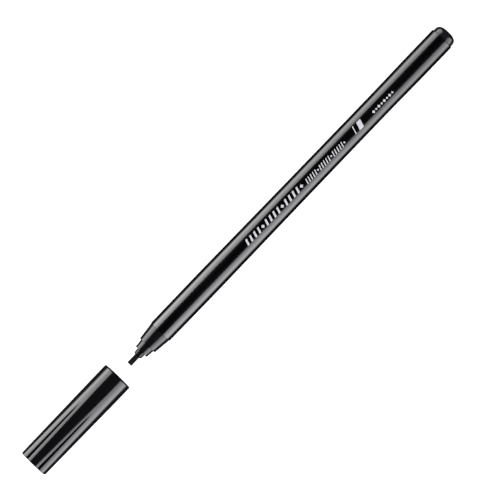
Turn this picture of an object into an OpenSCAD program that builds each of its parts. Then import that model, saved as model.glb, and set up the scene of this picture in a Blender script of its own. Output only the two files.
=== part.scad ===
// A fibre-tip calligraphy marker with its cap drawn off in front of the nib.
// The pen lies along X: the nib points to -X, the rear end to +X, and +Z is up.
// The X axis is the pen's own axis, and X = 0 is the middle of the straight stretch at the barrel's
// rear end, where a holder grips it.

/* [Overall] */
// Length of the uncapped pen, from the nib's edge to the rear crown
pen_len = 165.8; // [165:0.1:168]
// Air gap between the cap's mouth and the nib's edge while the cap is off
cap_gap = 6; // [2:0.5:30]

/* [Barrel] */
// Length of the barrel tube
barrel_len = 146.4; // [140:0.1:147]
// Diameter of the barrel where it meets the front section
barrel_front_d = 9.3; // [9.1:0.05:9.4]
// Diameter of the belly, just behind the fingers
belly_d = 9.5; // [9.3:0.05:9.6]
// Distance of the belly from the barrel's front end
belly_at = 27; // [20:1:40]
// Diameter of the slim waist towards the rear
waist_d = 9; // [8.8:0.02:9.2]
// Distance of the waist from the barrel's front end
waist_at = 112; // [90:1:115]
// Diameter of the straight stretch at the barrel's rear end
rear_d = 9.3; // [9.1:0.05:9.4]
// Length of that straight stretch
rear_len = 10; // [6:0.5:14]
// Bore of the barrel tube
barrel_bore_d = 7.4; // [7.2:0.05:7.6]

/* [Front section] */
// Length of the cone between the barrel and the sealing land
cone_len = 6.7; // [6.4:0.1:7]
// Diameter of the cone at its small end
cone_front_d = 7.4; // [7:0.05:7.6]
// Diameter of the cone at the barrel
cone_back_d = 8.88; // [8.7:0.02:9.1]
// Length of the sealing land that the inner cap closes on
land_len = 3.2; // [2.8:0.1:3.4]
// Diameter of the sealing land at its front
land_front_d = 5.5; // [5.3:0.05:5.7]
// Diameter of the sealing land at the cone
land_back_d = 6.04; // [5.9:0.02:6.06]
// Length of the spigot pressed into the barrel
spigot_len = 9.4; // [7:0.1:12]

/* [Nib] */
// Width of the chisel nib, which is the width of its broadest stroke
nib_w = 2; // [1.5:0.1:2.2]
// Thickness of the nib
nib_t = 1.1; // [0.9:0.05:1.2]
// Length of the nib that stands out of the collar
nib_out = 4.1; // [3:0.1:4.5]
// Whole length of the nib, with the tail that feeds it
nib_len = 32; // [30:0.5:36]
// Length of the ground chisel at the writing end
chisel_len = 1.1; // [0.8:0.1:1.6]
// Thickness that the chisel leaves at the writing edge
chisel_edge = 0.36; // [0.2:0.02:0.5]
// Length of the collar in front of the sealing land
collar_len = 2.1; // [1.6:0.1:2.6]
// Diameter of the collar at the sealing land
collar_d = 3.6; // [3.4:0.05:3.8]

/* [Ink supply] */
// Diameter of the fibre ink reservoir
reservoir_d = 6.7; // [6:0.05:6.75]
// Thickness of the film wrapped round the reservoir
wrap_t = 0.15; // [0.1:0.01:0.2]

/* [End plug] */
// Diameter of the plug at the barrel's rear edge
plug_d = 8.56; // [8.3:0.02:8.9]
// Length of the plug's spigot inside the barrel
plug_spigot_len = 9; // [6:0.5:12]

/* [Cap] */
// Length of the cap
cap_len = 43.8; // [40:0.1:46]
// Diameter of the cap at its mouth and over the crests of its lobes
cap_d = 12; // [11.9:0.05:12.4]
// Bore of the cap round the barrel
cap_bore_d = 9.9; // [9.85:0.05:10]
// Bore of the cap round its inner cap
cap_throat_d = 9.04; // [8.9:0.02:9.1]
// Thickness of the cap's closed end
cap_end_t = 1.2; // [1:0.1:1.5]
// Number of lobes round the cap, with a grip flute between each two
flute_count = 6; // [5:1:7]
// Radius of a lobe's crest at the closed end
lobe_r = 3.75; // [3.6:0.05:5]
// Distance from the closed end at which the lobes have become one round tube
lobe_len = 37; // [30:0.5:40]
// Length of a flute from the closed end to where it has run out
flute_len = 29; // [26:0.1:30]
// Distance from the closed end at which a flute starts to run out
flute_knee = 23.4; // [15:0.1:25]
// Depth of a flute below the crests at the closed end
flute_depth = 0.94; // [0.7:0.02:1]
// Depth of a flute below the crests where its run-out starts
flute_knee_depth = 0.46; // [0.3:0.02:0.5]
// Turn of the first flute round the cap, from straight up
flute_turn = 27; // [0:1:59]
// Bore of the inner cap's lip, which closes on the sealing land
lip_bore_d = 6.16; // [6.12:0.01:6.2]

/* [Hidden] */
$fn = 120;

// clearance between two pieces pressed or slid together
fit = 0.02;
// small edge roundings of the mouldings
edge_r = 0.12;
barrel_edge_r = 0.3;
cap_edge_r = 0.4;
collar_edge_r = 0.7;

// how far a cutting shape runs past the face that it cuts
past = 1;
quarter_turn = 90;

// stations along the pen, measured from the nib's edge towards the rear
land_at = nib_out + collar_len;
cone_at = land_at + land_len;
barrel_at = cone_at + cone_len;
spigot_end = barrel_at + spigot_len;
barrel_end = barrel_at + barrel_len;
reservoir_gap = 0.2;
reservoir_slack = 0.6;
reservoir_at = spigot_end + reservoir_gap;
plug_at = barrel_end - plug_spigot_len;
reservoir_len = plug_at - reservoir_slack - reservoir_at;

// the collar's taper, its sleeve and the nib's channel inside the front section
collar_taper = 0.2;
sleeve_d = 3;
sleeve_len = 3.2;
channel_d = 2.6;
cup_d = 6;
cup_len = 4;
funnel_len = 3;
spigot_d = barrel_bore_d - 2 * fit;

// the nib's tail inside the reservoir
tail_point_len = 1.5;
tail_point_t = 0.4;

// the end plug's rim and dome; dome_power is 2 for an ellipse and more for a squarer crown
plug_rim_len = 0.7;
plug_step = 0.06;
dome_power = 2.7;
plug_head_len = pen_len - barrel_end;
plug_bore_d = 5.8;
plug_bore_len = plug_spigot_len + 1;

// the cap's inside, measured from its closed end
lip_end = 12.4;
lip_len = 2.6;
lip_lead = 0.3;
throat_end = 13;
bore_at = 19;
inner_floor_t = 0.8;
inner_bore_d = 6.9;
inner_waist_d = 8.3;
inner_ring_len = 2.6;
inner_d = cap_throat_d - 2 * fit;
mouth_lead = 0.35;
flute_bar = 2;
lobe_steps = 14;
skin_gap = 0.02;

// places in the part's frame
nib_x = barrel_edge_r + rear_len / 2 - barrel_end;
cap_x = nib_x - cap_gap - cap_len;

// Turns a shape made along +Z so that it lies along +X, starting at x on the pen's axis.
module lay(x) {
  translate([x, 0, 0]) rotate([0, 90, 0]) children();
}

// A quarter arc from a radius r_face at station z_face to the outside radius r_out, with corner
// radius c. dir is 1 for a front corner, where the profile climbs, and -1 for a rear corner.
function corner(r_out, z_face, c, dir, n = 6) =
  [for (i = [0:n]) let (a = quarter_turn * (dir > 0 ? i : n - i) / n)
    [r_out - c + c * sin(a), z_face + dir * (c - c * cos(a))]];

// The barrel's outside radius: it swells to the belly, falls away to the waist and flares to the rear.
fall_power = 1.15;
flare_at = barrel_len - rear_len - barrel_edge_r;
function blend(a, b, k) = a + (b - a) * k;
function barrel_r(z) =
  z < belly_at ? blend(barrel_front_d, belly_d, sin(quarter_turn * z / belly_at)) / 2 :
  z < waist_at ? blend(waist_d, belly_d,
    pow(1 - pow((z - belly_at) / (waist_at - belly_at), fall_power), 2)) / 2 :
  z < flare_at ? blend(waist_d, rear_d,
    (1 - cos(2 * quarter_turn * (z - waist_at) / (flare_at - waist_at))) / 2) / 2 :
  rear_d / 2;

module barrel() {
  steps = 48;
  color("#141416")
  lay(nib_x + barrel_at)
  rotate_extrude()
  polygon(concat(
    [[barrel_bore_d / 2, 0]],
    corner(barrel_r(0), 0, edge_r, 1),
    [for (i = [1:steps]) let (z = flare_at * i / steps) [barrel_r(z), z]],
    corner(rear_d / 2, barrel_len, barrel_edge_r, -1),
    [[barrel_bore_d / 2, barrel_len]]
  ));
}

module front_section() {
  spigot_chamfer = 0.5;
  color("#1a1a1b")
  lay(nib_x)
  rotate_extrude()
  polygon(concat(
    [[sleeve_d / 2, land_at]],
    corner(land_front_d / 2, land_at, edge_r, 1),
    [[land_back_d / 2, cone_at]],
    corner(cone_front_d / 2, cone_at, edge_r, 1),
    [[cone_back_d / 2, barrel_at],
     [spigot_d / 2, barrel_at],
     [spigot_d / 2, spigot_end - spigot_chamfer],
     [spigot_d / 2 - spigot_chamfer / 2, spigot_end],
     [cup_d / 2, spigot_end],
     [cup_d / 2, spigot_end - cup_len],
     [channel_d / 2, spigot_end - cup_len - funnel_len],
     [channel_d / 2, land_at + sleeve_len],
     [sleeve_d / 2, land_at + sleeve_len]]
  ));
}

// A straight slot the size of the nib, with clearance all round
module nib_slot(from, to) {
  translate([nib_x + from, -nib_w / 2 - fit, -nib_t / 2 - fit])
    cube([to - from, nib_w + 2 * fit, nib_t + 2 * fit]);
}

module nib_collar() {
  collar_front_d = collar_d - collar_taper;
  color("#1d1d1e")
  difference() {
    lay(nib_x)
    rotate_extrude()
    polygon(concat(
      [[0, nib_out]],
      corner(collar_front_d / 2, nib_out, collar_edge_r, 1),
      [[collar_d / 2, land_at],
       [sleeve_d / 2 - fit, land_at],
       [sleeve_d / 2 - fit, land_at + sleeve_len - fit],
       [0, land_at + sleeve_len - fit]]
    ));
    nib_slot(nib_out - past, land_at + sleeve_len + past);
  }
}

module nib() {
  color("#232325")
  translate([nib_x, nib_w / 2, 0])
  rotate([90, 0, 0])
  linear_extrude(height = nib_w)
  polygon([
    [0, -chisel_edge / 2],
    [chisel_len, -nib_t / 2],
    [nib_len - tail_point_len, -nib_t / 2],
    [nib_len, -tail_point_t / 2],
    [nib_len, tail_point_t / 2],
    [nib_len - tail_point_len, nib_t / 2],
    [chisel_len, nib_t / 2],
    [0, chisel_edge / 2]
  ]);
}

module ink_reservoir() {
  color("#2a2a30")
  difference() {
    lay(nib_x + reservoir_at) cylinder(d = reservoir_d, h = reservoir_len);
    nib_slot(reservoir_at - past, nib_len + fit);
  }
}

module reservoir_wrap() {
  color("#c8ccd0")
  lay(nib_x + reservoir_at)
  difference() {
    cylinder(d = reservoir_d + 2 * wrap_t, h = reservoir_len);
    translate([0, 0, -past]) cylinder(d = reservoir_d, h = reservoir_len + 2 * past);
  }
}

module end_plug() {
  dome_r = plug_d / 2 - plug_step;
  dome_len = plug_head_len - plug_rim_len;
  steps = 16;
  color("#161617")
  lay(nib_x + barrel_end)
  rotate_extrude()
  polygon(concat(
    [[spigot_d / 2, -plug_spigot_len],
     [spigot_d / 2, 0],
     [plug_d / 2, 0]],
    [for (i = [0:steps - 1]) let (a = quarter_turn * i / steps)
      [dome_r * pow(cos(a), 2 / dome_power), plug_rim_len + dome_len * pow(sin(a), 2 / dome_power)]],
    [[0, plug_head_len],
     [0, plug_bore_len - plug_spigot_len],
     [plug_bore_d / 2, plug_bore_len - plug_spigot_len],
     [plug_bore_d / 2, -plug_spigot_len]]
  ));
}

// The cap's outside section at c from its closed end. Each lobe is an arc that touches the round tube
// at its crest, and two arcs meet in a valley. The arcs grow until they are one circle at lobe_len.
function lobed(c) =
  let (
    off = (cap_d / 2 - lobe_r) * max(0, 1 - c / lobe_len),
    r = cap_d / 2 - off,
    half = 180 / flute_count,
    reach = half + asin(off * sin(half) / r)
  )
  [for (k = [0:flute_count - 1], j = [0:lobe_steps - 1])
    let (crest = 180 + flute_turn + (2 * k + 1) * half, a = crest + reach * (2 * j / lobe_steps - 1))
    [off * cos(crest) + r * cos(a), off * sin(crest) + r * sin(a), c]];

// A solid bar with the lobed section, running past both ends of the cap
module lobed_bar() {
  stations = [-past, lobe_len, cap_len + past];
  count = flute_count * lobe_steps;
  last = len(stations) - 1;
  polyhedron(
    [for (c = stations) each lobed(c)],
    concat(
      [[for (j = [0:count - 1]) j]],
      [for (i = [0:last - 1], j = [0:count - 1]) let (next = (j + 1) % count)
        [i * count + j, (i + 1) * count + j, (i + 1) * count + next, i * count + next]],
      [[for (j = [count - 1:-1:0]) last * count + j]]
    )
  );
}

// One straight stretch of a flute: a bar standing on its edge, depth_from below the crests at one
// end and depth_to at the other, and running on by before and after.
module flute_run(from, to, depth_from, depth_to, before, after) {
  climb = atan((depth_from - depth_to) / (to - from));
  translate([cap_d / 2 - depth_from, 0, from])
  rotate([0, climb, 0])
  translate([0, 0, -before])
  rotate([0, 0, -45])
  cube([flute_bar, flute_bar, before + (to - from) / cos(climb) + after]);
}

// One flute: a long stretch from the closed end to the knee, and a short one that runs out.
module flute() {
  flute_run(0, flute_knee, flute_depth, flute_knee_depth, past, 0);
  flute_run(flute_knee, flute_len, flute_knee_depth, 0, 0, past);
}

module cap_shell() {
  skin_r = cap_d / 2 + skin_gap;
  color("#18181a")
  lay(cap_x)
  difference() {
    intersection() {
      lobed_bar();
      rotate_extrude()
      polygon(concat(
        [[0, 0]],
        corner(skin_r, 0, cap_edge_r, 1),
        corner(skin_r, cap_len, cap_edge_r, -1),
        [[0, cap_len]]
      ));
    }
    rotate_extrude()
    polygon([
      [0, cap_end_t],
      [cap_throat_d / 2, cap_end_t],
      [cap_throat_d / 2, throat_end],
      [cap_bore_d / 2, bore_at],
      [cap_bore_d / 2, cap_len - mouth_lead],
      [cap_bore_d / 2 + mouth_lead, cap_len],
      [cap_bore_d / 2 + mouth_lead, cap_len + past],
      [0, cap_len + past]
    ]);
    for (i = [0:flute_count - 1])
      rotate([0, 0, 180 + flute_turn + i * 360 / flute_count]) flute();
  }
}

module inner_cap() {
  color("#e4e2da")
  lay(cap_x)
  rotate_extrude()
  polygon([
    [0, cap_end_t],
    [inner_d / 2, cap_end_t],
    [inner_d / 2, cap_end_t + inner_ring_len],
    [inner_waist_d / 2, cap_end_t + inner_ring_len],
    [inner_waist_d / 2, lip_end - inner_ring_len],
    [inner_d / 2, lip_end - inner_ring_len],
    [inner_d / 2, lip_end],
    [lip_bore_d / 2 + lip_lead, lip_end],
    [lip_bore_d / 2, lip_end - lip_lead],
    [lip_bore_d / 2, lip_end - lip_len],
    [inner_bore_d / 2, lip_end - lip_len - lip_lead],
    [inner_bore_d / 2, cap_end_t + inner_floor_t],
    [0, cap_end_t + inner_floor_t]
  ]);
}

barrel();
front_section();
nib_collar();
nib();
ink_reservoir();
reservoir_wrap();
end_plug();
cap_shell();
inner_cap();
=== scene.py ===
# %% [markdown]
# # A calligraphy marker, drawn open
#
# The real object is a slim black fibre-tip pen: a moulded barrel, a stepped cone that carries the chisel
# nib, a plug in the rear end, and a fluted cap that is drawn off and lies in front of the nib. Almost every
# piece of it was turned or moulded round one axis, so most of this lesson is about outlines that are spun,
# and about how black plastic is shown at all: by what it reflects.
#
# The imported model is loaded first. It fixes the size and the place of every piece, so all the places below
# are read from it, and each new piece is laid exactly over the one it stands for.

# %% The frame
import math

import bmesh
import bpy
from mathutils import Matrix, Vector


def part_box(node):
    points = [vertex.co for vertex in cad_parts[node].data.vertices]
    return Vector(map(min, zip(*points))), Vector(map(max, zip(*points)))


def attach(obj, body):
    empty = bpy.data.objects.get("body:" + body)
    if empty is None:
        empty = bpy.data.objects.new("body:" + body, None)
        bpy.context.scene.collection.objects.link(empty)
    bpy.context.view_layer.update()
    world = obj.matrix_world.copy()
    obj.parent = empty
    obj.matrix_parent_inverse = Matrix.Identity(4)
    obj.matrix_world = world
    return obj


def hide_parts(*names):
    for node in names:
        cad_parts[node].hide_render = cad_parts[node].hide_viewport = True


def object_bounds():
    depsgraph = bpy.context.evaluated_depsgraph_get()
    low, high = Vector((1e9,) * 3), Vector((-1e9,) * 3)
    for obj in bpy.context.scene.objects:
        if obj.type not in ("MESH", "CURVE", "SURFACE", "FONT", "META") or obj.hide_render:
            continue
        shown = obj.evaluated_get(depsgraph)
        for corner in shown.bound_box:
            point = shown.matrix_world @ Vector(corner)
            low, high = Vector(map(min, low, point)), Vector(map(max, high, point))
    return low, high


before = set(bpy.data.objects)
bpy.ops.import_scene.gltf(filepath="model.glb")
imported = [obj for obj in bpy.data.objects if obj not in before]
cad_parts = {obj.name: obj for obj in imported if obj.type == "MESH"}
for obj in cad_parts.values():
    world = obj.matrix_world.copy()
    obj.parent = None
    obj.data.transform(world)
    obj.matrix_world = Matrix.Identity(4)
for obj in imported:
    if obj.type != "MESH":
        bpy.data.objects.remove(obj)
cad_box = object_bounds()

MM = 0.001
cap_lo, cap_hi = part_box("cap_shell")
barrel_lo, barrel_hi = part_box("barrel")
nib_lo, nib_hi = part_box("nib")
plug_lo, plug_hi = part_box("end_plug")
section_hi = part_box("front_section")[1]
AXIS_Z = (cap_lo.z + cap_hi.z) / 2
MIDDLE_X = (cad_box[0].x + cad_box[1].x) / 2
print("middle at", round(MIDDLE_X / MM, 2), "mm; nib edge at", round(nib_lo.x / MM, 2), "mm")

# %% [markdown]
# ## The stage
#
# A black glossy tube has almost no colour of its own. It shows the room: where a bright panel is reflected
# there is a pale band, and elsewhere it is black. So the room is built before the pen. Two long softboxes
# stand left and right, parallel to the pen, and nothing bright stands on the camera's side. That gives a
# dark middle between two soft bands, which is how such pens are usually lit.
#
# Each band's shading comes from its softbox. A softbox's brightness is set at a few angles from straight up,
# as the pen sees them, and runs evenly between them.
#
# The floor is a light table. It glows almost white itself, so that the pen's shadows all but vanish, and it
# is kept out of mirror reflections, as a polarising filter would do, so that the pen's outline stays dark.

# %% Floor and world
FLOOR_SIZE = 24.0


def linear(hex_colour):
    """An sRGB hex colour as linear red, green, blue and an alpha of 1."""
    parts = [int(hex_colour[i : i + 2], 16) / 255 for i in (1, 3, 5)]
    return [p / 12.92 if p <= 0.04045 else ((p + 0.055) / 1.055) ** 2.4 for p in parts] + [1.0]


def add(tree, kind, options=None, inputs=None):
    """Adds a node: options are its own settings, inputs are socket values or another node's outputs."""
    made = tree.nodes.new(kind)
    for option, value in (options or {}).items():
        setattr(made, option, value)
    for socket, value in (inputs or {}).items():
        if isinstance(value, bpy.types.NodeSocket):
            tree.links.new(value, made.inputs[socket])
        else:
            made.inputs[socket].default_value = value
    return made


def blank(name):
    """A new material with an empty node tree."""
    made = bpy.data.materials.new(name)
    made.use_nodes = True
    made.node_tree.nodes.clear()
    return made


def finished(material, shader):
    """Joins the shader to the material's output."""
    add(material.node_tree, "ShaderNodeOutputMaterial", inputs={"Surface": shader.outputs[0]})
    return material


def deselect():
    if bpy.context.object and bpy.context.object.mode != "OBJECT":
        bpy.ops.object.mode_set(mode="OBJECT")
    bpy.ops.object.select_all(action="DESELECT")


deselect()
bpy.ops.mesh.primitive_plane_add(size=FLOOR_SIZE, location=(MIDDLE_X, 0, cad_box[0].z))
floor = bpy.context.object
floor.name = "floor"
floor.visible_glossy = False
table = blank("light_table")
glow = add(
    table.node_tree,
    "ShaderNodeBsdfPrincipled",
    inputs={
        "Base Color": linear("#9a9a9a"),
        "Roughness": 0.9,
        "Specular IOR Level": 0.0,
        "Emission Color": linear("#ffffff"),
        "Emission Strength": 0.96,
    },
)
floor.data.materials.append(finished(table, glow))

world = bpy.data.worlds.new("pale_room")
bpy.context.scene.world = world
world.use_nodes = True
world.node_tree.nodes["Background"].inputs["Color"].default_value = linear("#ffffff")
world.node_tree.nodes["Background"].inputs["Strength"].default_value = 1.0
world.cycles_visibility.glossy = False
world.cycles_visibility.diffuse = False
print("floor at z =", round(floor.location.z, 5))

# %% Softboxes
SIDE = 0.7  # distance of a softbox from the pen
BOX_LENGTH = 1.6
PEAK = 10.0  # the brightness that white stands for in a softbox's ramp
REAR_FADE = 0.62
RAMP_EDGE = 0.0001


def softbox(name, side, tint, steps):
    """A tall panel beside the pen. The steps are (angle from straight up, brightness) pairs, top first."""
    top = SIDE / math.tan(math.radians(steps[0][0]))
    bottom = SIDE / math.tan(math.radians(steps[-1][0]))
    lamp = bpy.data.lights.new(name, "AREA")
    lamp.shape = "RECTANGLE"
    lamp.size = BOX_LENGTH
    lamp.size_y = top - bottom
    lamp.energy = PEAK * math.pi * lamp.size * lamp.size_y
    lamp.color = linear(tint)[:3]
    lamp.use_nodes = True
    tree = lamp.node_tree
    tree.nodes.clear()
    place = add(tree, "ShaderNodeNewGeometry")
    split = add(tree, "ShaderNodeSeparateXYZ", inputs={"Vector": place.outputs["Parametric"]})
    height = add(tree, "ShaderNodeValToRGB", inputs={"Fac": split.outputs["Y"]})
    ramp = height.color_ramp.elements
    for angle, brightness in steps:
        up = (SIDE / math.tan(math.radians(angle)) - bottom) / (top - bottom)
        stop = ramp.new(min(1 - RAMP_EDGE, max(RAMP_EDGE, up)))
        stop.color = [brightness / PEAK] * 3 + [1.0]
    # The ramp came with two stops of its own, at its ends.
    ramp.remove(ramp[0])
    ramp.remove(ramp[-1])
    # The softboxes are a little dimmer towards the pen's rear end.
    reach = (cad_box[1].x - cad_box[0].x) / 2 / BOX_LENGTH
    span = {"From Min": 0.5 + side * reach, "From Max": 0.5 - side * reach}
    levels = {"To Min": 1.0, "To Max": REAR_FADE}
    fade = add(tree, "ShaderNodeMapRange", inputs={"Value": split.outputs["X"], **span, **levels})
    both = {0: height.outputs[0], 1: fade.outputs[0]}
    level = add(tree, "ShaderNodeMath", {"operation": "MULTIPLY"}, both)
    glow = add(tree, "ShaderNodeEmission", inputs={"Strength": level.outputs[0]})
    add(tree, "ShaderNodeOutputLight", inputs={"Surface": glow.outputs[0]})
    panel = bpy.data.objects.new(name, lamp)
    bpy.context.scene.collection.objects.link(panel)
    panel.location = (MIDDLE_X, side * SIDE, AXIS_Z + (top + bottom) / 2)
    panel.rotation_euler = (math.radians(90), 0, math.radians(90 + 90 * side))
    panel.visible_camera = False


# Both are brightest level with the pen, and fade above and below it. The right one reaches a little higher,
# and is a little dimmer and cooler.
softbox("softbox_left", 1, "#fffeff", ((45, 5.0), (60, 6.1), (78, 8.7), (90, 9.8), (97, 5.6), (106, 1.2)))
softbox("softbox_right", -1, "#fcfaff", ((38, 3.8), (55, 5.6), (72, 7.9), (88, 8.6), (96, 4.8), (105, 1.0)))

# %% Camera
# A long lens, straight above, keeps the sides of the pen parallel. It is turned so that the pen lies on
# the diagonal, with the cap at the lower left.
LENS = 360
SENSOR = 36
VIEW_WIDTH = 0.180
PEN_TURN = 46.15
AIM_X, AIM_Y = 1.73 * MM, -2.88 * MM
camera_data = bpy.data.cameras.new("camera")
camera_data.lens = LENS
camera_data.sensor_width = SENSOR
camera = bpy.data.objects.new("camera", camera_data)
bpy.context.scene.collection.objects.link(camera)
camera.location = (MIDDLE_X + AIM_X, AIM_Y, AXIS_Z + VIEW_WIDTH * LENS / SENSOR)
camera.rotation_euler = (0, 0, -math.radians(PEN_TURN))
bpy.context.scene.camera = camera
bpy.context.scene.view_settings.view_transform = "Standard"
print("camera height:", round(camera.location.z, 3))

# %% [markdown]
# ## Turning a piece on the lathe
#
# A round moulding could be made from a cylinder with rings pushed in and out, or by stacking several
# cylinders. Both leave seams or need many moves. Drawing half of its section once and spinning it round the
# axis gives the outside, the wall and the bore together, as one closed skin, which is also how the mould
# was cut. The outline is drawn as a person would: one corner, then one extruded point after another.

# %% Spun outlines
AROUND = 144


def apply_place(piece):
    """Moves the object's place into its mesh, so that the object itself sits at the origin."""
    deselect()
    piece.select_set(True)
    bpy.context.view_layer.objects.active = piece
    bpy.ops.object.transform_apply(location=True, rotation=True, scale=True)


def smooth(piece, angle=32):
    deselect()
    piece.select_set(True)
    bpy.context.view_layer.objects.active = piece
    bpy.ops.object.shade_smooth_by_angle(angle=math.radians(angle))


def apply_modifier(piece, modifier):
    deselect()
    piece.select_set(True)
    bpy.context.view_layer.objects.active = piece
    bpy.ops.object.modifier_apply(modifier=modifier.name)


def quarter(x, r, size, start, end, steps=7):
    """Points of an arc about (x, r): an angle of 0 points to the rear and 90 points outwards."""
    angles = [math.radians(start + (end - start) * i / steps) for i in range(steps + 1)]
    return [(x + size * math.cos(a), r + size * math.sin(a)) for a in angles]


def open_edges(piece):
    """How many edges don't have exactly two faces: 0 on a closed skin."""
    shape = bmesh.new()
    shape.from_mesh(piece.data)
    count = sum(len(e.link_faces) != 2 for e in shape.edges)
    shape.free()
    return count


def report(piece):
    triangles = sum(len(f.vertices) - 2 for f in piece.data.polygons)
    size = [round(d / MM, 2) for d in piece.dimensions]
    print(piece.name, "size", size, "mm,", triangles, "triangles,", open_edges(piece), "open edges")


def spun(name, outline, closed=True, around=AROUND):
    """Draws an outline of (station, radius) points in metres and spins it round the pen's axis."""
    deselect()
    x, r = outline[0]
    bpy.ops.mesh.primitive_plane_add(size=MM, location=(x, 0, AXIS_Z + r))
    piece = bpy.context.object
    piece.name = piece.data.name = name
    apply_place(piece)
    bpy.ops.object.mode_set(mode="EDIT")
    bpy.ops.mesh.select_all(action="SELECT")
    bpy.ops.mesh.merge(type="CENTER")
    for (x0, r0), (x1, r1) in zip(outline, outline[1:]):
        bpy.ops.mesh.extrude_vertices_move(TRANSFORM_OT_translate={"value": (x1 - x0, 0, r1 - r0)})
    if closed:
        shape = bmesh.from_edit_mesh(piece.data)
        for v in shape.verts:
            v.select = len(v.link_edges) == 1
        shape.select_flush_mode()
        bpy.ops.mesh.edge_face_add()
    bpy.ops.mesh.select_all(action="SELECT")
    bpy.ops.mesh.spin(steps=around, angle=math.tau, center=(0, 0, AXIS_Z), axis=(1, 0, 0))
    bpy.ops.mesh.select_all(action="SELECT")
    bpy.ops.mesh.remove_doubles(threshold=0.002 * MM)
    bpy.ops.mesh.normals_make_consistent(inside=False)
    bpy.ops.object.mode_set(mode="OBJECT")
    smooth(piece)
    return piece


# %% [markdown]
# ## The barrel
#
# The barrel is a thin polystyrene tube. It swells a little behind the fingers, narrows to a slim waist
# and flares again at the rear, so its outside is a slow curve and its bore is straight. A short straight
# ring near each rounded edge keeps the smooth shading of the long wall from leaning into the rounding.

# %% Barrel
RING = 0.25 * MM
BORE = 3.7 * MM
BELLY_AT, WAIST_AT = 27 * MM, 112 * MM
STRAIGHT = 10 * MM
FRONT_EDGE, REAR_EDGE = 0.12 * MM, 0.3 * MM
FALL_POWER = 1.15
WALL_STEPS = 60
FRONT_R, BELLY_R, WAIST_R, REAR_R = 4.65 * MM, (barrel_hi.z - barrel_lo.z) / 2, 4.5 * MM, 4.65 * MM
barrel_len = barrel_hi.x - barrel_lo.x
flare_at = barrel_len - STRAIGHT - REAR_EDGE


def between(a, b, k):
    return a + (b - a) * k


def barrel_radius(z):
    """The outside radius at z from the front end."""
    if z < BELLY_AT:
        return between(FRONT_R, BELLY_R, math.sin(math.pi / 2 * z / BELLY_AT))
    if z < WAIST_AT:
        fall = 1 - ((z - BELLY_AT) / (WAIST_AT - BELLY_AT)) ** FALL_POWER
        return between(WAIST_R, BELLY_R, fall**2)
    if z < flare_at:
        return between(WAIST_R, REAR_R, (1 - math.cos(math.pi * (z - WAIST_AT) / (flare_at - WAIST_AT))) / 2)
    return REAR_R


front, rear = barrel_lo.x, barrel_hi.x
wall_stations = [RING + (flare_at - RING) * i / WALL_STEPS for i in range(WALL_STEPS + 1)]
barrel = spun(
    "barrel_tube",
    [(front, BORE)]
    + quarter(front + FRONT_EDGE, FRONT_R - FRONT_EDGE, FRONT_EDGE, 180, 90, 4)
    + [(front + z, barrel_radius(z)) for z in wall_stations]
    + [(rear - REAR_EDGE - RING, REAR_R)]
    + quarter(rear - REAR_EDGE, REAR_R - REAR_EDGE, REAR_EDGE, 90, 0)
    + [(rear, BORE)],
)
report(barrel)

# %% [markdown]
# ## The end plug
#
# A separate plug closes the rear end after the ink is in. Its rim is a little smaller than the barrel, so a
# fine step shows all round, and its crown is a squarish dome, fuller than an ellipse. The spigot inside is
# hollow, as moulders avoid thick lumps of plastic, which sink as they cool.

# %% End plug
RIM_R, RIM_LEN, RIM_STEP = 4.28 * MM, 0.7 * MM, 0.06 * MM
SPIGOT_R, PLUG_BORE, PLUG_FLOOR = 3.68 * MM, 2.9 * MM, 1 * MM
CROWN_POWER = 2.7
DOME_STEPS = 20
EASE = 0.08 * MM
crown = plug_hi.x
dome_r = RIM_R - RIM_STEP
dome_len = crown - rear - RIM_LEN
dome_turns = [math.radians(90 * i / DOME_STEPS) for i in range(DOME_STEPS)]
dome = [
    (
        rear + RIM_LEN + dome_len * math.sin(a) ** (2 / CROWN_POWER),
        dome_r * math.cos(a) ** (2 / CROWN_POWER),
    )
    for a in dome_turns
]
plug = spun(
    "end_plug_cap",
    [(rear + PLUG_FLOOR, 0), (rear + PLUG_FLOOR, PLUG_BORE), (plug_lo.x, PLUG_BORE)]
    + [(plug_lo.x, SPIGOT_R - EASE), (plug_lo.x + EASE, SPIGOT_R)]
    + [(rear, SPIGOT_R), (rear, RIM_R - EASE / 2), (rear + EASE / 2, RIM_R)]
    + [(rear + RIM_LEN - EASE / 2, RIM_R)]
    + dome
    + [(crown, 0)],
    closed=False,
)
report(plug)

# %% [markdown]
# ## The front section
#
# The front section is pressed into the barrel. From the front it has a sealing land, which the inner cap
# grips, a square step, and a cone that carries the line of the barrel down to the nib. The cone is a little
# thinner than the barrel where they meet, so the joint shows as a fine dark line.

# %% Front section
LAND_AT, LAND_LEN, CONE_LEN = 6.2 * MM, 3.2 * MM, 6.7 * MM
LAND_FRONT_R, LAND_BACK_R = 2.75 * MM, 3.02 * MM
CONE_FRONT_R, CONE_BACK_R = 3.7 * MM, 4.44 * MM
SLEEVE_R, CHANNEL_R, CUP_R = 1.5 * MM, 1.3 * MM, 3.0 * MM
SLEEVE_LEN, CUP_LEN, FUNNEL_LEN = 3.2 * MM, 4 * MM, 3 * MM
LEAD_IN, LEAD_IN_R = 0.5 * MM, 0.25 * MM
LAND_RISE, STEP_RING, HAIR = 0.02 * MM, 0.1 * MM, 0.03 * MM
nose = nib_lo.x
land_at = nose + LAND_AT
cone_at = land_at + LAND_LEN
spigot_end = section_hi.x
SMALL = 0.12 * MM
cone_points = [
    (cone_at + SMALL + (CONE_LEN - 2 * SMALL) * k, between(CONE_FRONT_R, CONE_BACK_R, k))
    for k in (0.03, 0.25, 0.5, 0.75, 0.985)
]
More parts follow.
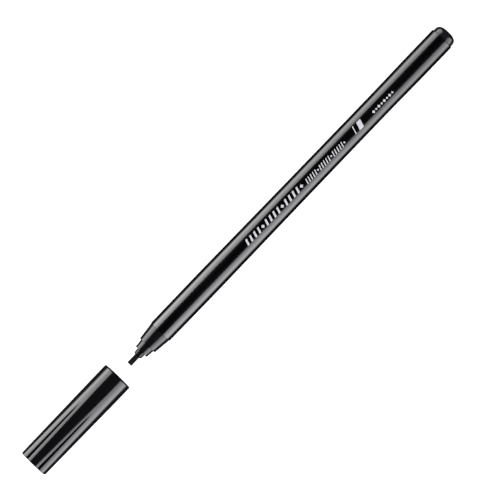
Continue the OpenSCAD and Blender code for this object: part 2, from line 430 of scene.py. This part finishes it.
section = spun(
    "front_section_cone",
    [(land_at, SLEEVE_R)]
    + quarter(land_at + SMALL, LAND_FRONT_R - SMALL, SMALL, 180, 90, 4)
    + [(land_at + SMALL + RING, LAND_FRONT_R + LAND_RISE)]
    + [(cone_at - STEP_RING, LAND_BACK_R), (cone_at, LAND_BACK_R)]
    + quarter(cone_at + SMALL, CONE_FRONT_R - SMALL, SMALL, 180, 90, 4)
    + cone_points
    + [(barrel_lo.x - HAIR, CONE_BACK_R), (barrel_lo.x, CONE_BACK_R - HAIR)]
    + [(barrel_lo.x, SPIGOT_R), (spigot_end - LEAD_IN, SPIGOT_R), (spigot_end, SPIGOT_R - LEAD_IN_R)]
    + [(spigot_end, CUP_R), (spigot_end - CUP_LEN, CUP_R), (spigot_end - CUP_LEN - FUNNEL_LEN, CHANNEL_R)]
    + [(land_at + SLEEVE_LEN, CHANNEL_R), (land_at + SLEEVE_LEN, SLEEVE_R)],
)
report(section)

# %% [markdown]
# ## The nib's collar
#
# The collar is the small round-nosed ring that the nib comes out of. It is turned like the rest, and the
# slot for the nib is then cut through it with a Boolean modifier, because a spun shape can't be square.

# %% Collar
NIB_W, NIB_T = nib_hi.y - nib_lo.y, nib_hi.z - nib_lo.z
COLLAR_FRONT_R, COLLAR_BACK_R, COLLAR_ROUND = 1.7 * MM, 1.8 * MM, 0.7 * MM
FIT = 0.02 * MM
collar_lo, collar_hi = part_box("nib_collar")
collar = spun(
    "nib_collar_ring",
    [(collar_lo.x, 0)]
    + quarter(collar_lo.x + COLLAR_ROUND, COLLAR_FRONT_R - COLLAR_ROUND, COLLAR_ROUND, 180, 90, 8)
    + [(land_at, COLLAR_BACK_R), (land_at, SLEEVE_R - FIT), (collar_hi.x, SLEEVE_R - FIT)]
    + [(collar_hi.x, 0)],
    closed=False,
    around=96,
)


def bar(name, low, high):
    """A box between two corners, as one mesh at the origin."""
    deselect()
    middle = [(a + b) / 2 for a, b in zip(low, high)]
    bpy.ops.mesh.primitive_cube_add(size=1, location=middle)
    piece = bpy.context.object
    piece.name = piece.data.name = name
    piece.scale = [b - a for a, b in zip(low, high)]
    apply_place(piece)
    return piece


def cut(piece, cutter):
    """Takes the cutter's shape out of the piece and removes the cutter."""
    knife = piece.modifiers.new("cut", "BOOLEAN")
    knife.operation = "DIFFERENCE"
    knife.solver = "EXACT"
    knife.object = cutter
    apply_modifier(piece, knife)
    bpy.data.objects.remove(cutter)


slot_cutter = bar(
    "slot_cutter",
    (collar_lo.x - MM, -NIB_W / 2 - FIT, AXIS_Z - NIB_T / 2 - FIT),
    (collar_hi.x + MM, NIB_W / 2 + FIT, AXIS_Z + NIB_T / 2 + FIT),
)
cut(collar, slot_cutter)
smooth(collar)
report(collar)

# %% [markdown]
# ## The nib
#
# The nib is a flat slab of bonded acrylic fibre, two millimetres wide, which is the width of its broadest
# stroke. Its writing end is ground to a chisel on both faces. It starts as a box, is bisected where the
# grinding starts and where the tail begins to taper, its two ends are squeezed, and its long edges are
# rounded, because a drawn fibre rod never has sharp edges.

# %% Nib
CHISEL, CHISEL_EDGE = 1.1 * MM, 0.36 * MM
TAIL, TAIL_EDGE = 1.5 * MM, 0.4 * MM
LONG_ROUND, END_ROUND = 0.14 * MM, 0.04 * MM
NEAR = 0.01 * MM
nib = bar("chisel_nib", nib_lo, nib_hi)
bpy.ops.object.mode_set(mode="EDIT")
for station in (nib_lo.x + CHISEL, nib_hi.x - TAIL):
    bpy.ops.mesh.select_all(action="SELECT")
    bpy.ops.mesh.bisect(plane_co=(station, 0, 0), plane_no=(1, 0, 0))


def select_where(piece, chosen):
    """Selects the vertices whose place passes the test, and the edges and faces between them."""
    shape = bmesh.from_edit_mesh(piece.data)
    for v in shape.verts:
        v.select = bool(chosen(v.co))
    shape.select_flush_mode()
    bmesh.update_edit_mesh(piece.data)


for station, thickness in ((nib_lo.x, CHISEL_EDGE), (nib_hi.x, TAIL_EDGE)):
    select_where(nib, lambda co: abs(co.x - station) < NEAR)
    bpy.ops.transform.resize(value=(1, 1, thickness / NIB_T), center_override=(station, 0, AXIS_Z))
# The long edges run along the pen, above and below its middle height.
bpy.ops.mesh.select_mode(type="EDGE")
bpy.ops.mesh.select_all(action="DESELECT")
shape = bmesh.from_edit_mesh(nib.data)
for edge in shape.edges:
    along = (edge.verts[0].co - edge.verts[1].co).normalized()
    middle = (edge.verts[0].co + edge.verts[1].co) / 2
    edge.select = abs(along.x) > 0.9 and abs(middle.z - AXIS_Z) > 0.1 * MM and edge.calc_length() > 2 * MM
bmesh.update_edit_mesh(nib.data)
bpy.ops.mesh.bevel(offset=LONG_ROUND, segments=4, clamp_overlap=True)
bpy.ops.mesh.select_mode(type="VERT")
bpy.ops.object.mode_set(mode="OBJECT")
edge_round = nib.modifiers.new("edge_round", "BEVEL")
edge_round.width = END_ROUND
edge_round.segments = 2
edge_round.limit_method = "ANGLE"
edge_round.angle_limit = math.radians(25)
apply_modifier(nib, edge_round)
smooth(nib)
report(nib)

# %% [markdown]
# ## The cap
#
# The cap is a moulded tube with one closed end. At the mouth it is round. Towards the closed end it swells
# into six lobes, each a tighter arc than the tube, so that the fingers can turn and pull it, and a V-shaped
# flute is sunk in each valley between them. The tube is spun round first, as a plain cylinder with its wall
# and bore. Then the outer skin is drawn in between the crests, ring by ring, with the arc's own formula.

# %% Cap shell
CAP_EDGE, MOUTH_LEAD = 0.4 * MM, 0.35 * MM
CAP_R = (cap_hi.z - cap_lo.z) / 2
CAP_BORE, THROAT_R, END_WALL, FLAT_R = 4.95 * MM, 4.52 * MM, 1.2 * MM, 4.8 * MM
THROAT_END, BORE_AT = 13 * MM, 19 * MM
cap_len = cap_hi.x - cap_lo.x
closed_end, mouth = cap_lo.x, cap_hi.x
side_stations = [CAP_EDGE + RING] + [cap_len * i / 24 for i in range(1, 24)] + [cap_len - CAP_EDGE - RING]
cap = spun(
    "cap_tube",
    [(closed_end, 0), (closed_end, FLAT_R)]
    + quarter(closed_end + CAP_EDGE, CAP_R - CAP_EDGE, CAP_EDGE, 180, 90)
    + [(closed_end + c, CAP_R) for c in side_stations]
    + quarter(mouth - CAP_EDGE, CAP_R - CAP_EDGE, CAP_EDGE, 90, 0)
    + [(mouth, CAP_BORE + MOUTH_LEAD), (mouth - MOUTH_LEAD, CAP_BORE), (mouth - MOUTH_LEAD - RING, CAP_BORE)]
    + [(closed_end + BORE_AT, CAP_BORE), (closed_end + THROAT_END, THROAT_R)]
    + [(closed_end + END_WALL, THROAT_R), (closed_end + END_WALL, 0)],
    closed=False,
    around=240,
)

# %% Lobes
FLUTES, FLUTE_TURN = 6, 27
LOBE_R, LOBE_LEN = 3.75 * MM, 37 * MM
half_lobe = math.pi / FLUTES


def drawn_in(c, turn):
    """How far the skin lies below a crest, at c from the closed end and turned from the nearest crest."""
    off = (CAP_R - LOBE_R) * max(0, 1 - c / LOBE_LEN)
    arc = CAP_R - off
    return CAP_R - off * math.cos(turn) - math.sqrt(arc**2 - (off * math.sin(turn)) ** 2)


for v in cap.data.vertices:
    height, c = math.hypot(v.co.y, v.co.z - AXIS_Z), v.co.x - closed_end
    if height < FLAT_R + RING or c > LOBE_LEN or (c > CAP_EDGE and height < CAP_R - RING):
        continue
    from_flute = math.atan2(-v.co.y, v.co.z - AXIS_Z) - math.radians(FLUTE_TURN)
    turn = from_flute % (2 * half_lobe) - half_lobe
    pull = 1 - drawn_in(c, turn) / height
    v.co.y, v.co.z = v.co.y * pull, AXIS_Z + (v.co.z - AXIS_Z) * pull
print("valley depth:", round(drawn_in(0, half_lobe) / MM, 2), "mm at the closed end")

# %% [markdown]
# The flutes could be pushed into the mesh too, but their edges would be soft. Cutting them with a square
# bar that stands on its edge keeps the edges crisp. The bar is bent a little at the knee, where the flute
# starts to run out, by lifting its three rings to the flute's own floor.

# %% Flutes
FLUTE_LEN, FLUTE_KNEE = 29 * MM, 23.4 * MM
FLUTE_DEPTH, KNEE_DEPTH = 0.94 * MM, 0.46 * MM
BAR_HALF, OVERRUN = 1.4 * MM, 1.0 * MM
knee_r = CAP_R - KNEE_DEPTH
sink = (FLUTE_DEPTH - KNEE_DEPTH) / FLUTE_KNEE
run_out = KNEE_DEPTH / (FLUTE_LEN - FLUTE_KNEE)
bar_lo, bar_hi = closed_end - OVERRUN, closed_end + FLUTE_LEN + OVERRUN
deselect()
bpy.ops.mesh.primitive_cylinder_add(
    vertices=4,
    radius=BAR_HALF,
    depth=bar_hi - bar_lo,
    location=((bar_lo + bar_hi) / 2, 0, AXIS_Z + BAR_HALF),
    rotation=(0, math.radians(90), 0),
)
cutter = bpy.context.object
apply_place(cutter)
bpy.ops.object.mode_set(mode="EDIT")
bpy.ops.mesh.select_all(action="SELECT")
bpy.ops.mesh.bisect(plane_co=(closed_end + FLUTE_KNEE, 0, 0), plane_no=(1, 0, 0))
for station, floor_r in (
    (bar_lo, CAP_R - FLUTE_DEPTH - sink * OVERRUN),
    (closed_end + FLUTE_KNEE, knee_r),
    (bar_hi, CAP_R + run_out * OVERRUN),
):
    select_where(cutter, lambda co: abs(co.x - station) < NEAR)
    bpy.ops.transform.translate(value=(0, 0, floor_r))
bpy.ops.mesh.select_all(action="SELECT")
bpy.ops.transform.rotate(
    value=-math.radians(FLUTE_TURN), orient_axis="X", center_override=(0, 0, AXIS_Z)
)
bpy.ops.mesh.select_all(action="SELECT")
bpy.ops.mesh.spin(
    steps=FLUTES - 1,
    dupli=True,
    angle=math.tau * (FLUTES - 1) / FLUTES,
    center=(0, 0, AXIS_Z),
    axis=(1, 0, 0),
)
bpy.ops.object.mode_set(mode="OBJECT")
print("cutter bars:", len(cutter.data.vertices) // 12)
cut(cap, cutter)
smooth(cap)
report(cap)

# %% [markdown]
# ## The inner cap
#
# A soft liner sits at the bottom of the cap. Its lip closes on the sealing land, so that the ink doesn't
# dry. Two rings hold it in the throat, and its waist between them stands free.

# %% Inner cap
LINER_R, LINER_WAIST, LINER_BORE, LIP_R = 4.5 * MM, 4.15 * MM, 3.45 * MM, 3.08 * MM
FLOOR_T, LIP_LEN, LEAD, RING_LEN = 0.8 * MM, 2.6 * MM, 0.3 * MM, 2.6 * MM
liner_lo, liner_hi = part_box("inner_cap")
liner = spun(
    "inner_cap_liner",
    [(liner_lo.x, 0), (liner_lo.x, LINER_R - EASE), (liner_lo.x + EASE, LINER_R)]
    + [(liner_lo.x + RING_LEN - EASE, LINER_R), (liner_lo.x + RING_LEN, LINER_R - EASE)]
    + [(liner_lo.x + RING_LEN, LINER_WAIST), (liner_hi.x - RING_LEN, LINER_WAIST)]
    + [(liner_hi.x - RING_LEN, LINER_R - EASE), (liner_hi.x - RING_LEN + EASE, LINER_R)]
    + [(liner_hi.x - EASE, LINER_R), (liner_hi.x, LINER_R - EASE)]
    + [(liner_hi.x, LIP_R + LEAD), (liner_hi.x - LEAD, LIP_R), (liner_hi.x - LIP_LEN, LIP_R)]
    + [(liner_hi.x - LIP_LEN - LEAD, LINER_BORE), (liner_lo.x + FLOOR_T, LINER_BORE)]
    + [(liner_lo.x + FLOOR_T, 0)],
    closed=False,
    around=96,
)
report(liner)

# %% [markdown]
# ## The print
#
# The real barrel carries a line of printing. It is replaced by plain practice strokes, such as a scribe
# makes to warm up a broad nib: leaning strokes, lozenges, a swatch of the nib's own width and a few dots.
# Each mark is a small flat patch, leaned over in edit mode, then laid on the barrel with a Shrinkwrap
# modifier and given the thickness of a film of ink.

# %% Marks
INK = 0.012 * MM
LEAN = 0.32
ABOVE = 8 * MM
PATCH = 0.15  # length of one face of a mark, so that it can follow the barrel's curve
LOZENGE_SIDE = 1.44  # side of a lozenge for each millimetre of half its height


def mark(x, low, high, width, lean=LEAN):
    """A leaning stroke at x from the barrel's front end, from low to high across it, in millimetres."""
    deselect()
    middle = (barrel_lo.x + x * MM, (low + high) / 2 * MM, AXIS_Z + ABOVE)
    across = max(4, round((high - low) / PATCH))
    bpy.ops.mesh.primitive_grid_add(x_subdivisions=3, y_subdivisions=across, size=1, location=middle)
    piece = bpy.context.object
    piece.scale = (width * MM, (high - low) * MM, 1)
    apply_place(piece)
    for v in piece.data.vertices:
        v.co.x += (v.co.y - middle[1]) * lean
    return piece


def lozenge(x, y, half):
    """A square stood on its corner, as a broad nib makes when it is only touched down."""
    side = half * LOZENGE_SIDE
    piece = mark(x, y - side / 2, y + side / 2, side, lean=0)
    bpy.ops.object.mode_set(mode="EDIT")
    bpy.ops.mesh.select_all(action="SELECT")
    bpy.ops.transform.rotate(
        value=math.radians(45),
        orient_axis="Z",
        center_override=(barrel_lo.x + x * MM, y * MM, AXIS_Z + ABOVE),
    )
    bpy.ops.object.mode_set(mode="OBJECT")
    return piece


def row(first, pitch, count, every, low, high, width, middle, half):
    """A row of leaning strokes, in which the last of every so many is a lozenge instead."""
    for i in range(count):
        x = first + pitch * i
        if (i + 1) % every:
            marks.append(mark(x, low, high, width))
        else:
            marks.append(lozenge(x, middle, half))


marks = []
row(first=45.0, pitch=2.0, count=15, every=5, low=-1.4, high=0.8, width=0.8, middle=-0.35, half=0.7)
row(first=75.6, pitch=1.14, count=18, every=6, low=-1.5, high=0.4, width=0.42, middle=-0.55, half=0.42)

SWATCH_LOW, SWATCH_HIGH = -1.6, 1.3
marks.append(mark(100.6, SWATCH_LOW, SWATCH_HIGH, 0.4))
marks.append(mark(103.5, SWATCH_LOW, SWATCH_HIGH, NIB_W / MM))

DOTS_FROM, DOTS_PITCH, DOTS_COUNT = 110.2, 1.38, 8
DOT_LARGE, DOT_SMALL = 0.62, 0.46
for i in range(DOTS_COUNT):
    marks.append(lozenge(DOTS_FROM + DOTS_PITCH * i, -0.5, DOT_SMALL if i % 2 else DOT_LARGE))

deselect()
for piece in marks:
    piece.select_set(True)
bpy.context.view_layer.objects.active = marks[0]
bpy.ops.object.join()
strokes = bpy.context.object
strokes.name = strokes.data.name = "printed_strokes"
lay_on = strokes.modifiers.new("lay_on", "SHRINKWRAP")
lay_on.target = barrel
lay_on.wrap_method = "PROJECT"
lay_on.use_project_z = True
lay_on.use_negative_direction = True
lay_on.use_positive_direction = False
lay_on.offset = INK
apply_modifier(strokes, lay_on)
film = strokes.modifiers.new("film", "SOLIDIFY")
film.thickness = INK
film.offset = -1
apply_modifier(strokes, film)
smooth(strokes)
report(strokes)

# %% [markdown]
# ## Black plastic, five ways
#
# The barrel is black polystyrene, with a refractive index of 1.59, and the section, the collar, the plug
# and the cap are black polypropylene, with 1.49, so the barrel's reflections are a third brighter. The rest
# of what tells them apart is the skin. The barrel has a soft gloss, so a softbox shows in it as a band with
# soft edges. The cap was moulded against polished steel, so its bands have sharper edges. The section's skin
# is dulled by fine scatter, which takes some strength from its bands, and the collar's by dried ink, which
# takes more. The shader's own gloss level sets that strength: 0.5 is a clean skin. The plug is painted a
# shade greyer than the rest, as painted light for the brighter shade that its rear-leaning side catches.
#
# A trace of flow, where pigment and melt moved, keeps the surface from looking like paint. The flow is
# stretched along the pen, the way the melt ran.

# %% Moulded plastic
PS_IOR, PP_IOR = 1.59, 1.49


def moulded(name, dark, light, ior, gloss_level, roughness, spread, flow_mm, grain_mm, grain_depth_mm):
    """A moulded plastic, with streaks of flow flow_mm wide and a grain of grain_mm in its skin."""
    made = blank(name)
    tree = made.node_tree
    place = add(tree, "ShaderNodeTexCoord")
    stretch = add(
        tree,
        "ShaderNodeMapping",
        inputs={"Vector": place.outputs["Object"], "Scale": (0.12, 1, 1)},
    )
    flow = add(
        tree,
        "ShaderNodeTexNoise",
        inputs={"Vector": stretch.outputs[0], "Scale": 1 / (flow_mm * MM), "Detail": 4, "Roughness": 0.55},
    )
    grain = add(
        tree,
        "ShaderNodeTexNoise",
        inputs={"Vector": place.outputs["Object"], "Scale": 1 / (grain_mm * MM), "Detail": 2},
    )
    tint = add(tree, "ShaderNodeMix", {"data_type": "RGBA"}, {0: flow.outputs["Fac"], 6: dark, 7: light})
    gloss = add(
        tree,
        "ShaderNodeMapRange",
        inputs={
            "Value": flow.outputs["Fac"],
            "From Min": 0.3,
            "From Max": 0.7,
            "To Min": roughness - spread,
            "To Max": roughness + spread,
        },
    )
    skin = add(
        tree,
        "ShaderNodeBump",
        inputs={"Height": grain.outputs["Fac"], "Strength": 1.0, "Distance": grain_depth_mm * MM},
    )
    shader = add(
        tree,
        "ShaderNodeBsdfPrincipled",
        inputs={
            "Base Color": tint.outputs[2],
            "Roughness": gloss.outputs[0],
            "IOR": ior,
            "Specular IOR Level": gloss_level,
            "Normal": skin.outputs[0],
        },
    )
    return finished(made, shader)


barrel_finish = moulded(
    "moulded_polystyrene_soft_gloss",
    dark=linear("#020203"),
    light=linear("#050506"),
    ior=PS_IOR,
    gloss_level=0.5,
    roughness=0.18,
    spread=0.03,
    flow_mm=2.5,
    grain_mm=1.2,
    grain_depth_mm=0.001,
)
section_finish = moulded(
    "moulded_polypropylene_satin",
    dark=linear("#09090a"),
    light=linear("#111112"),
    ior=PP_IOR,
    gloss_level=0.38,
    roughness=0.14,
    spread=0.03,
    flow_mm=1.5,
    grain_mm=0.35,
    grain_depth_mm=0.001,
)
# The plug's greyer colours are painted light: a lighter shade standing in for the light its rear-leaning
# side catches.
plug_finish = moulded(
    "moulded_polypropylene_painted_lighter",
    dark=linear("#101012"),
    light=linear("#1c1c1f"),
    ior=PP_IOR,
    gloss_level=0.5,
    roughness=0.15,
    spread=0.04,
    flow_mm=1.5,
    grain_mm=0.35,
    grain_depth_mm=0.001,
)
collar_finish = moulded(
    "moulded_polypropylene_inky",
    dark=linear("#060607"),
    light=linear("#0e0e10"),
    ior=PP_IOR,
    gloss_level=0.22,
    roughness=0.16,
    spread=0.04,
    flow_mm=0.6,
    grain_mm=0.3,
    grain_depth_mm=0.001,
)
cap_finish = moulded(
    "moulded_polypropylene_polished",
    dark=linear("#09090b"),
    light=linear("#0f0f11"),
    ior=PP_IOR,
    gloss_level=0.45,
    roughness=0.1,
    spread=0.02,
    flow_mm=2.0,
    grain_mm=0.9,
    grain_depth_mm=0.0006,
)
plastics = (barrel_finish, section_finish, plug_finish, collar_finish, cap_finish)
print("plastics:", [made.name for made in plastics])

# %% [markdown]
# ## Fibre, liner, film and ink
#
# The nib is a bundle of acrylic fibres glued with resin and soaked in black ink. Real fibres are about
# 0.02 mm thick, which is far too fine to see, so they are drawn five times as coarse. The liner is natural
# polyethylene, milky and soft, which lets a little light in. The ink of the print is silver-grey and
# opaque, laid through a screen, so it has a faint mottle.

# %% Inked fibre
FIBRE_MM = 0.1
ACRYLIC_IOR = 1.5
nib_finish = blank("bonded_acrylic_fibre_inked")
tree = nib_finish.node_tree
place = add(tree, "ShaderNodeTexCoord")
stretch = add(
    tree, "ShaderNodeMapping", inputs={"Vector": place.outputs["Object"], "Scale": (0.06, 1, 1)}
)
fibres = add(
    tree,
    "ShaderNodeTexNoise",
    inputs={"Vector": stretch.outputs[0], "Scale": 1 / (FIBRE_MM * MM), "Detail": 2},
)
tint = add(
    tree,
    "ShaderNodeMix",
    {"data_type": "RGBA"},
    {0: fibres.outputs["Fac"], 6: linear("#050506"), 7: linear("#111114")},
)
rough = add(
    tree,
    "ShaderNodeMapRange",
    inputs={"Value": fibres.outputs["Fac"], "To Min": 0.28, "To Max": 0.42},
)
ribs = add(
    tree, "ShaderNodeBump", inputs={"Height": fibres.outputs["Fac"], "Strength": 0.6, "Distance": 0.01 * MM}
)
shader = add(
    tree,
    "ShaderNodeBsdfPrincipled",
    inputs={
        "Base Color": tint.outputs[2],
        "Roughness": rough.outputs[0],
        "IOR": ACRYLIC_IOR,
        "Normal": ribs.outputs[0],
    },
)
finished(nib_finish, shader)
print("nib:", nib_finish.name)


# %% Liner, film, reservoir and ink
def mottled(name, low, high, patch_mm, roughness, ior, depth_mm, stretch_x=1.0, extra=None):
    """A material whose colour and height wander between two colours in patches of a given size."""
    made = blank(name)
    tree = made.node_tree
    place = add(tree, "ShaderNodeTexCoord")
    turn = add(
        tree, "ShaderNodeMapping", inputs={"Vector": place.outputs["Object"], "Scale": (stretch_x, 1, 1)}
    )
    patches = add(
        tree,
        "ShaderNodeTexNoise",
        inputs={"Vector": turn.outputs[0], "Scale": 1 / (patch_mm * MM), "Detail": 3},
    )
    tint = add(tree, "ShaderNodeMix", {"data_type": "RGBA"}, {0: patches.outputs["Fac"], 6: low, 7: high})
    height = add(
        tree,
        "ShaderNodeBump",
        inputs={"Height": patches.outputs["Fac"], "Strength": 0.5, "Distance": depth_mm * MM},
    )
    inputs = {
        "Base Color": tint.outputs[2],
        "Roughness": roughness,
        "IOR": ior,
        "Normal": height.outputs[0],
    }
    inputs.update(extra or {})
    return finished(made, add(tree, "ShaderNodeBsdfPrincipled", inputs=inputs))


liner_finish = mottled(
    "natural_polyethylene",
    low=linear("#d9d6cc"),
    high=linear("#e8e6de"),
    patch_mm=1.5,
    roughness=0.38,
    ior=1.51,
    depth_mm=0.002,
    extra={"Subsurface Weight": 0.25, "Subsurface Radius": (1 * MM, 0.9 * MM, 0.8 * MM)},
)
film_finish = mottled(
    "polypropylene_film",
    low=linear("#c2c6ca"),
    high=linear("#d4d7da"),
    patch_mm=2.0,
    roughness=0.2,
    ior=PP_IOR,
    depth_mm=0.004,
)
fibre_finish = mottled(
    "drawn_polyester_fibre_inked",
    low=linear("#141419"),
    high=linear("#2c2c34"),
    patch_mm=0.3,
    roughness=0.7,
    ior=1.57,
    depth_mm=0.03,
    stretch_x=0.08,
)
ink_finish = mottled(
    "screen_printed_ink",
    low=linear("#b6b6ba"),
    high=linear("#c8c8cc"),
    patch_mm=0.4,
    roughness=0.5,
    ior=1.5,
    depth_mm=0.002,
)
print("soft and printed:", liner_finish.name, film_finish.name, fibre_finish.name, ink_finish.name)

# %% [markdown]
# ## Fastening the pieces
#
# Each new piece is tied to the body it moves with. The cap and its liner slide together; all the rest
# belongs to the pen. The fibre reservoir and its film are inside the barrel and keep their plain shapes.

# %% Bodies and finishes
for piece, body, node_name, slot, material in (
    (barrel, "pen", "barrel", "barrel_gloss", barrel_finish),
    (plug, "pen", "end_plug", "section_satin", plug_finish),
    (section, "pen", "front_section", "section_satin", section_finish),
    (collar, "pen", "nib_collar", "section_satin", collar_finish),
    (nib, "pen", "nib", "nib_fibre", nib_finish),
    (cap, "cap", "cap_shell", "cap_gloss", cap_finish),
    (liner, "cap", "inner_cap", "liner", liner_finish),
    (strokes, "pen", None, "print_ink", ink_finish),
):
    piece.data.materials.clear()
    piece.data.materials.append(material)
    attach(piece, body)
    if node_name:
        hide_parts(node_name)

for node_name, material in (("ink_reservoir", fibre_finish), ("reservoir_wrap", film_finish)):
    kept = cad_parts[node_name]
    kept.data.materials.clear()
    kept.data.materials.append(material)
